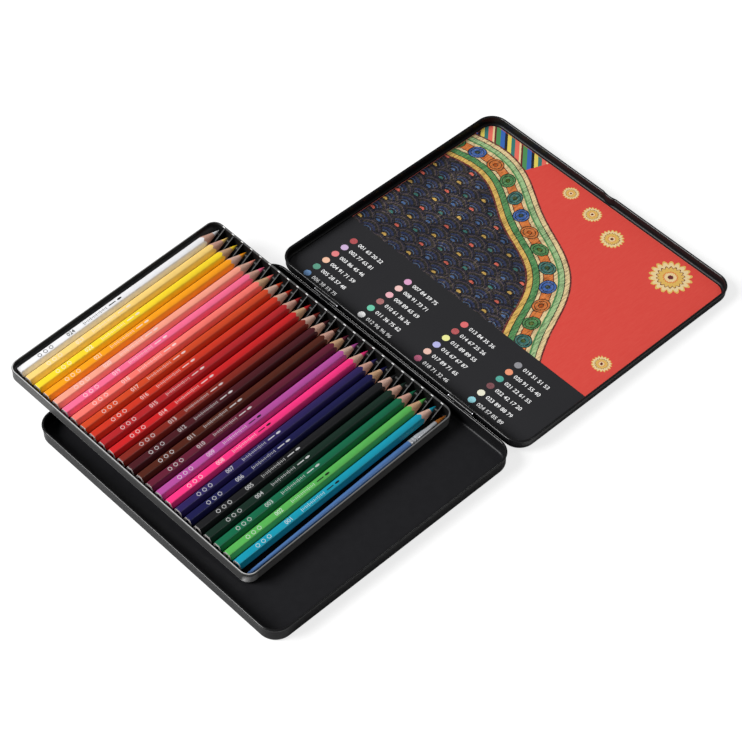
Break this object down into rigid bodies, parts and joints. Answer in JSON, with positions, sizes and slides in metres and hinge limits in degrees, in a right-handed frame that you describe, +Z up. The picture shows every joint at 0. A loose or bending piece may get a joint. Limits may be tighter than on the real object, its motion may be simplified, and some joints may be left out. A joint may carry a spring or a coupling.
{
  "type": "colored pencil tin",
  "caption": "Flat hinged metal tin opened out, with its lift-out tray of hexagonal colored pencils and a brush leaning across the base.",
  "frame": {"origin": "centre of the base's underside", "axes": "+X along the pencils towards the lid, +Y along the hinge, +Z up"},
  "size_m": [0.4149, 0.2716, 0.0261],
  "materials": {
    "tin_black": "satin black enamel on pressed tinplate",
    "card_print": "printed card, satin",
    "hinge_steel": "drawn wire",
    "tray_plastic": "vacuum-formed black plastic, fine grain",
    "brush_blue": "gloss lacquer",
    "ferrule_metal": "polished",
    "bristle_orange": "synthetic bristle",
    "turquoise_lacquer": "gloss lacquer on wood",
    "turquoise_lead": "waxy pigment core",
    "light_green_lacquer": "gloss lacquer on wood",
    "light_green_lead": "waxy pigment core",
    "green_lacquer": "gloss lacquer on wood",
    "green_lead": "waxy pigment core",
    "dark_green_lacquer": "gloss lacquer on wood",
    "dark_green_lead": "waxy pigment core",
    "black_lacquer": "gloss lacquer on wood",
    "black_lead": "waxy pigment core",
    "navy_lacquer": "gloss lacquer on wood",
    "navy_lead": "waxy pigment core",
    "violet_blue_lacquer": "gloss lacquer on wood",
    "violet_blue_lead": "waxy pigment core",
    "hot_pink_lacquer": "gloss lacquer on wood",
    "hot_pink_lead": "waxy pigment core",
    "orchid_lacquer": "gloss lacquer on wood",
    "orchid_lead": "waxy pigment core",
    "plum_lacquer": "gloss lacquer on wood",
    "plum_lead": "waxy pigment core",
    "brown_lacquer": "gloss lacquer on wood",
    "brown_lead": "waxy pigment core",
    "maroon_lacquer": "gloss lacquer on wood",
    "maroon_lead": "waxy pigment core",
    "burnt_red_lacquer": "gloss lacquer on wood",
    "burnt_red_lead": "waxy pigment core",
    "red_lacquer": "gloss lacquer on wood",
    "red_lead": "waxy pigment core",
    "crimson_lacquer": "gloss lacquer on wood",
    "crimson_lead": "waxy pigment core",
    "orange_red_lacquer": "gloss lacquer on wood",
    "orange_red_lead": "waxy pigment core",
    "burnt_orange_lacquer": "gloss lacquer on wood",
    "burnt_orange_lead": "waxy pigment core",
    "coral_lacquer": "gloss lacquer on wood",
    "coral_lead": "waxy pigment core",
    "pink_lacquer": "gloss lacquer on wood",
    "pink_lead": "waxy pigment core",
    "salmon_lacquer": "gloss lacquer on wood",
    "salmon_lead": "waxy pigment core",
    "orange_lacquer": "gloss lacquer on wood",
    "orange_lead": "waxy pigment core",
    "yellow_lacquer": "gloss lacquer on wood",
    "yellow_lead": "waxy pigment core",
    "cream_lacquer": "gloss lacquer on wood",
    "cream_lead": "waxy pigment core",
    "white_lacquer": "gloss lacquer on wood",
    "white_lead": "waxy pigment core"
  },
  "bodies": {
    "base": {"tin_base": "tin_black", "hinge_pin_near": "hinge_steel", "hinge_pin_far": "hinge_steel"},
    "lid": {"tin_lid": "tin_black", "lid_card": "card_print"},
    "tray": {"pencil_tray": "tray_plastic"},
    "brush": {"brush_handle": "brush_blue", "brush_ferrule": "ferrule_metal", "brush_bristles": "bristle_orange"},
    "pencil_01": {"pencil_casing_01": "turquoise_lacquer", "pencil_lead_01": "turquoise_lead"},
    "pencil_02": {"pencil_casing_02": "light_green_lacquer", "pencil_lead_02": "light_green_lead"},
    "pencil_03": {"pencil_casing_03": "green_lacquer", "pencil_lead_03": "green_lead"},
    "pencil_04": {"pencil_casing_04": "dark_green_lacquer", "pencil_lead_04": "dark_green_lead"},
    "pencil_05": {"pencil_casing_05": "black_lacquer", "pencil_lead_05": "black_lead"},
    "pencil_06": {"pencil_casing_06": "navy_lacquer", "pencil_lead_06": "navy_lead"},
    "pencil_07": {"pencil_casing_07": "violet_blue_lacquer", "pencil_lead_07": "violet_blue_lead"},
    "pencil_08": {"pencil_casing_08": "hot_pink_lacquer", "pencil_lead_08": "hot_pink_lead"},
    "pencil_09": {"pencil_casing_09": "orchid_lacquer", "pencil_lead_09": "orchid_lead"},
    "pencil_10": {"pencil_casing_10": "plum_lacquer", "pencil_lead_10": "plum_lead"},
    "pencil_11": {"pencil_casing_11": "brown_lacquer", "pencil_lead_11": "brown_lead"},
    "pencil_12": {"pencil_casing_12": "maroon_lacquer", "pencil_lead_12": "maroon_lead"},
    "pencil_13": {"pencil_casing_13": "burnt_red_lacquer", "pencil_lead_13": "burnt_red_lead"},
    "pencil_14": {"pencil_casing_14": "red_lacquer", "pencil_lead_14": "red_lead"},
    "pencil_15": {"pencil_casing_15": "crimson_lacquer", "pencil_lead_15": "crimson_lead"},
    "pencil_16": {"pencil_casing_16": "orange_red_lacquer", "pencil_lead_16": "orange_red_lead"},
    "pencil_17": {"pencil_casing_17": "burnt_orange_lacquer", "pencil_lead_17": "burnt_orange_lead"},
    "pencil_18": {"pencil_casing_18": "coral_lacquer", "pencil_lead_18": "coral_lead"},
    "pencil_19": {"pencil_casing_19": "pink_lacquer", "pencil_lead_19": "pink_lead"},
    "pencil_20": {"pencil_casing_20": "salmon_lacquer", "pencil_lead_20": "salmon_lead"},
    "pencil_21": {"pencil_casing_21": "orange_lacquer", "pencil_lead_21": "orange_lead"},
    "pencil_22": {"pencil_casing_22": "yellow_lacquer", "pencil_lead_22": "yellow_lead"},
    "pencil_23": {"pencil_casing_23": "cream_lacquer", "pencil_lead_23": "cream_lead"},
    "pencil_24": {"pencil_casing_24": "white_lacquer", "pencil_lead_24": "white_lead"}
  },
  "joints": [
    {"name": "lid_hinge", "type": "hinge", "parent": "base", "child": "lid", "pos_m": [0.10454, 0, 0.012], "axis": [0, 1, 0], "range_deg": [-130, 0]},
    {"name": "tray_lift", "type": "slide", "parent": "base", "child": "tray", "axis": [0, 0, 1], "range_m": [0, 0.1]},
    {"name": "brush_lift", "type": "slide", "parent": "tray", "child": "brush", "axis": [0.0021, -0.0639, 0.998], "range_m": [0, 0.06]},
    {"name": "pencil_01_lift", "type": "slide", "parent": "tray", "child": "pencil_01", "axis": [0.0021, -0.0639, 0.998], "range_m": [0, 0.06]},
    {"name": "pencil_02_lift", "type": "slide", "parent": "tray", "child": "pencil_02", "axis": [0.0021, -0.0639, 0.998], "range_m": [0, 0.06]},
    {"name": "pencil_03_lift", "type": "slide", "parent": "tray", "child": "pencil_03", "axis": [0.0021, -0.0639, 0.998], "range_m": [0, 0.06]},
    {"name": "pencil_04_lift", "type": "slide", "parent": "tray", "child": "pencil_04", "axis": [0.0021, -0.0639, 0.998], "range_m": [0, 0.06]},
    {"name": "pencil_05_lift", "type": "slide", "parent": "tray", "child": "pencil_05", "axis": [0.0021, -0.0639, 0.998], "range_m": [0, 0.06]},
    {"name": "pencil_06_lift", "type": "slide", "parent": "tray", "child": "pencil_06", "axis": [0.0021, -0.0639, 0.998], "range_m": [0, 0.06]},
    {"name": "pencil_07_lift", "type": "slide", "parent": "tray", "child": "pencil_07", "axis": [0.0021, -0.0639, 0.998], "range_m": [0, 0.06]},
    {"name": "pencil_08_lift", "type": "slide", "parent": "tray", "child": "pencil_08", "axis": [0.0021, -0.0639, 0.998], "range_m": [0, 0.06]},
    {"name": "pencil_09_lift", "type": "slide", "parent": "tray", "child": "pencil_09", "axis": [0.0021, -0.0639, 0.998], "range_m": [0, 0.06]},
    {"name": "pencil_10_lift", "type": "slide", "parent": "tray", "child": "pencil_10", "axis": [0.0021, -0.0639, 0.998], "range_m": [0, 0.06]},
    {"name": "pencil_11_lift", "type": "slide", "parent": "tray", "child": "pencil_11", "axis": [0.0021, -0.0639, 0.998], "range_m": [0, 0.06]},
    {"name": "pencil_12_lift", "type": "slide", "parent": "tray", "child": "pencil_12", "axis": [0.0021, -0.0639, 0.998], "range_m": [0, 0.06]},
    {"name": "pencil_13_lift", "type": "slide", "parent": "tray", "child": "pencil_13", "axis": [0.0021, -0.0639, 0.998], "range_m": [0, 0.06]},
    {"name": "pencil_14_lift", "type": "slide", "parent": "tray", "child": "pencil_14", "axis": [0.0021, -0.0639, 0.998], "range_m": [0, 0.06]},
    {"name": "pencil_15_lift", "type": "slide", "parent": "tray", "child": "pencil_15", "axis": [0.0021, -0.0639, 0.998], "range_m": [0, 0.06]},
    {"name": "pencil_16_lift", "type": "slide", "parent": "tray", "child": "pencil_16", "axis": [0.0021, -0.0639, 0.998], "range_m": [0, 0.06]},
    {"name": "pencil_17_lift", "type": "slide", "parent": "tray", "child": "pencil_17", "axis": [0.0021, -0.0639, 0.998], "range_m": [0, 0.06]},
    {"name": "pencil_18_lift", "type": "slide", "parent": "tray", "child": "pencil_18", "axis": [0.0021, -0.0639, 0.998], "range_m": [0, 0.06]},
    {"name": "pencil_19_lift", "type": "slide", "parent": "tray", "child": "pencil_19", "axis": [0.0021, -0.0639, 0.998], "range_m": [0, 0.06]},
    {"name": "pencil_20_lift", "type": "slide", "parent": "tray", "child": "pencil_20", "axis": [0.0021, -0.0639, 0.998], "range_m": [0, 0.06]},
    {"name": "pencil_21_lift", "type": "slide", "parent": "tray", "child": "pencil_21", "axis": [0.0021, -0.0639, 0.998], "range_m": [0, 0.06]},
    {"name": "pencil_22_lift", "type": "slide", "parent": "tray", "child": "pencil_22", "axis": [0.0021, -0.0639, 0.998], "range_m": [0, 0.06]},
    {"name": "pencil_23_lift", "type": "slide", "parent": "tray", "child": "pencil_23", "axis": [0.0021, -0.0639, 0.998], "range_m": [0, 0.06]},
    {"name": "pencil_24_lift", "type": "slide", "parent": "tray", "child": "pencil_24", "axis": [0.0021, -0.0639, 0.998], "range_m": [0, 0.06]}
  ]
}
